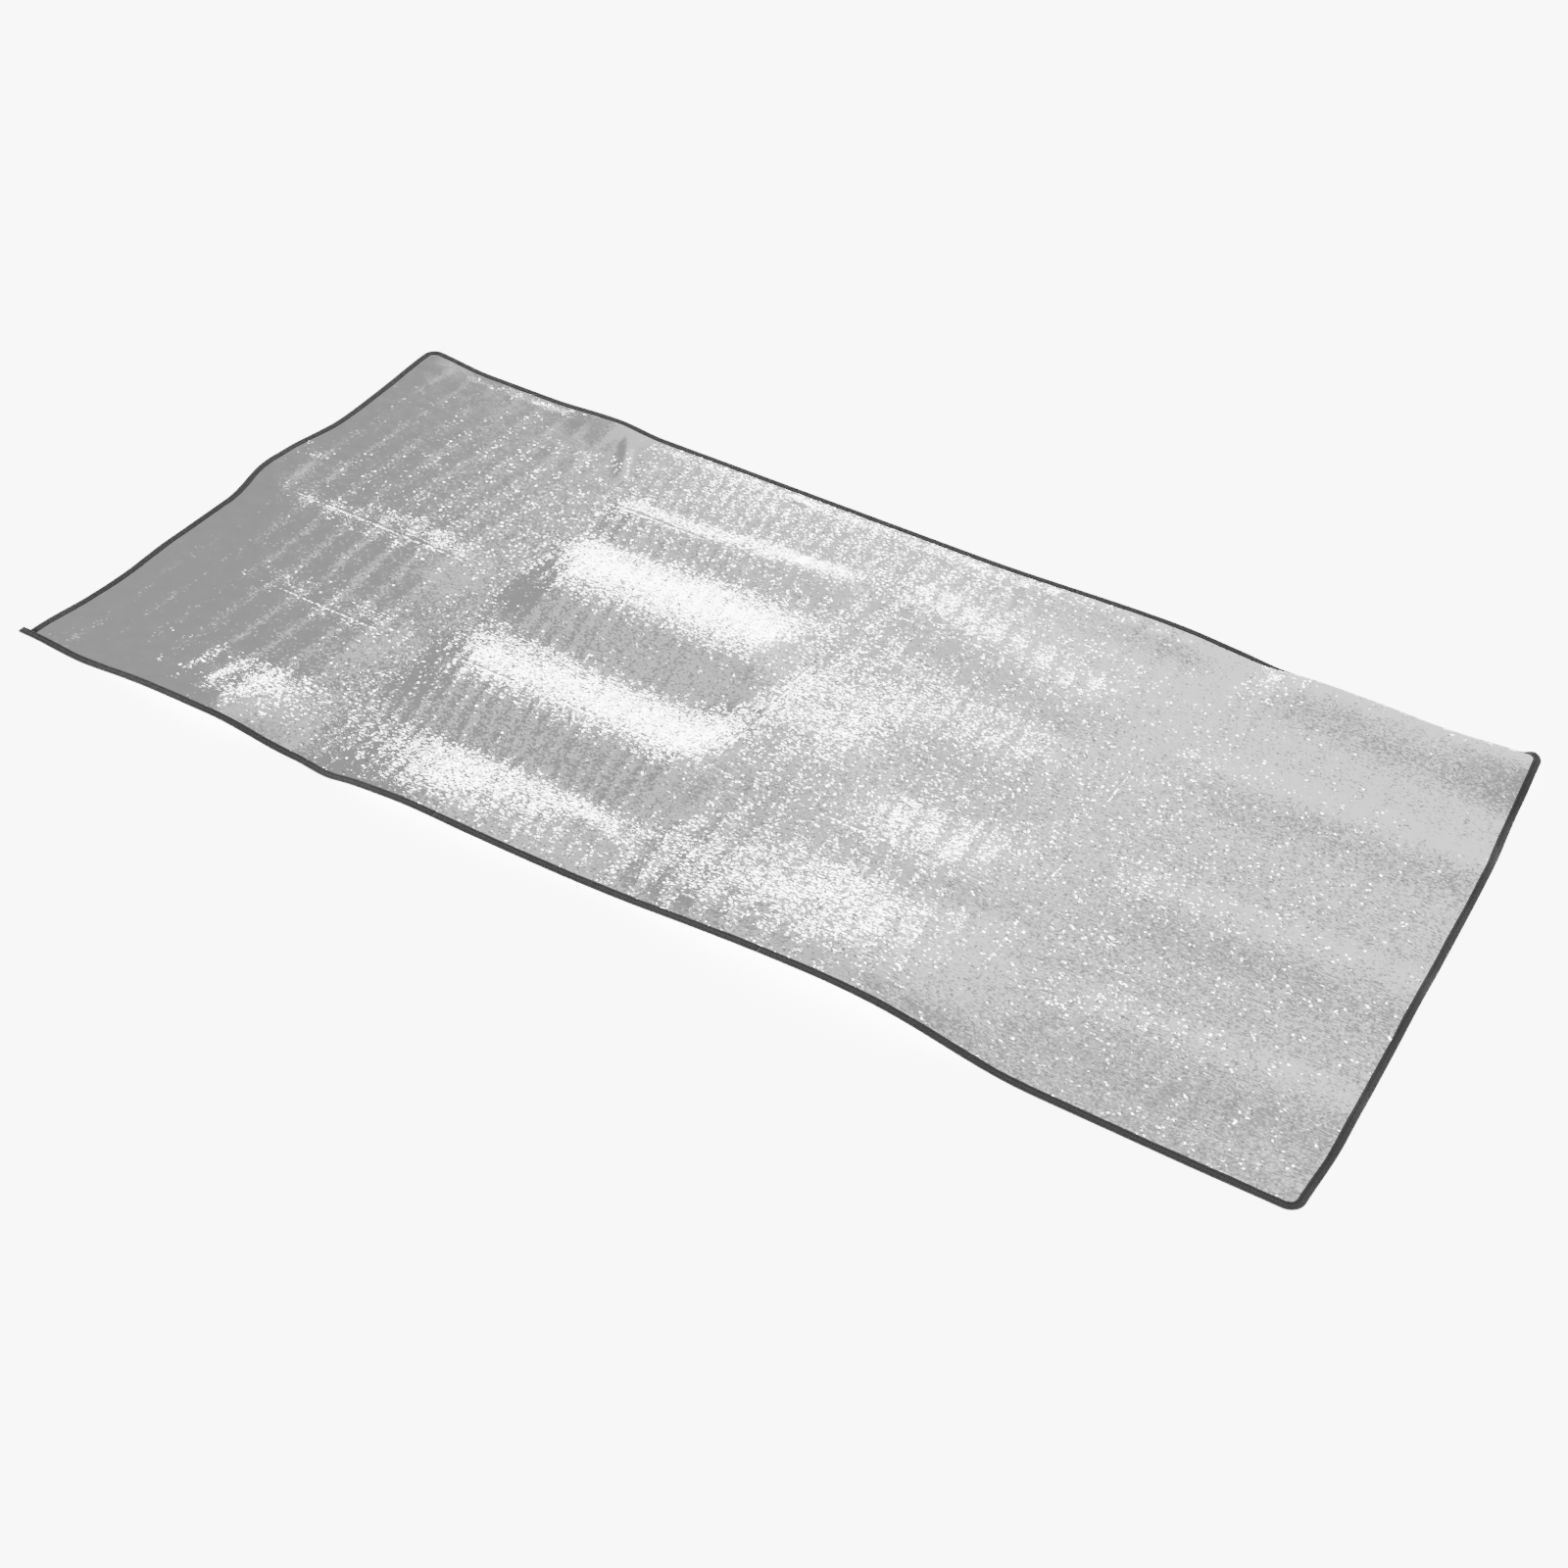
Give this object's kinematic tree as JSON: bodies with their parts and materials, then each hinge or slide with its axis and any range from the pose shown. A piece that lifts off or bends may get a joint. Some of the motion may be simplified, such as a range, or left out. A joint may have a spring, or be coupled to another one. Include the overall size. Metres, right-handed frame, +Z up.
{
  "type": "foam sleeping pad",
  "caption": "Thin folding foam sleeping pad, two metres by one, faced with embossed metallised film and bound all round with stitched dark tape.",
  "frame": {"origin": "on the ground, under the middle of the pad", "axes": "+X along the pad's length, +Y across its width, +Z up from the ground through the sleeping surface"},
  "size_m": [2, 1, 0.0405],
  "materials": {
    "foil_top": "satin",
    "foil_underside": "satin",
    "foam": "matte",
    "binding_tape": "matte",
    "thread": "matte"
  },
  "bodies": {
    "panel_1": {"foil_top_1": "foil_top", "foam_core_1": "foam", "foil_bottom_1": "foil_underside", "binding_near_1": "binding_tape", "needle_thread_near_1": "thread", "bobbin_thread_near_1": "thread", "binding_far_1": "binding_tape", "needle_thread_far_1": "thread", "bobbin_thread_far_1": "thread", "binding_left_end": "binding_tape", "needle_thread_left_end": "thread", "bobbin_thread_left_end": "thread"},
    "panel_2": {"foil_top_2": "foil_top", "foam_core_2": "foam", "foil_bottom_2": "foil_underside", "binding_near_2": "binding_tape", "needle_thread_near_2": "thread", "bobbin_thread_near_2": "thread", "binding_far_2": "binding_tape", "needle_thread_far_2": "thread", "bobbin_thread_far_2": "thread"},
    "panel_3": {"foil_top_3": "foil_top", "foam_core_3": "foam", "foil_bottom_3": "foil_underside", "binding_near_3": "binding_tape", "needle_thread_near_3": "thread", "bobbin_thread_near_3": "thread", "binding_far_3": "binding_tape", "needle_thread_far_3": "thread", "bobbin_thread_far_3": "thread"},
    "panel_4": {"foil_top_4": "foil_top", "foam_core_4": "foam", "foil_bottom_4": "foil_underside", "binding_near_4": "binding_tape", "needle_thread_near_4": "thread", "bobbin_thread_near_4": "thread", "binding_far_4": "binding_tape", "needle_thread_far_4": "thread", "bobbin_thread_far_4": "thread", "binding_right_end": "binding_tape", "needle_thread_right_end": "thread", "bobbin_thread_right_end": "thread"}
  },
  "joints": [
    {"name": "fold_1", "type": "hinge", "parent": "panel_1", "child": "panel_2", "pos_m": [-0.5, 0, 0.0066], "axis": [0, -1, 0], "range_deg": [0, 155]},
    {"name": "fold_2", "type": "hinge", "parent": "panel_2", "child": "panel_3", "pos_m": [0, 0, -0.0005], "axis": [0, -1, 0], "range_deg": [-155, 0]},
    {"name": "fold_3", "type": "hinge", "parent": "panel_3", "child": "panel_4", "pos_m": [0.5, 0, 0.031], "axis": [0, -1, 0], "range_deg": [0, 155]}
  ],
  "couplings": [
    {"joint": "fold_2", "follows": "fold_1", "ratio": -1},
    {"joint": "fold_3", "follows": "fold_1", "ratio": 1}
  ]
}
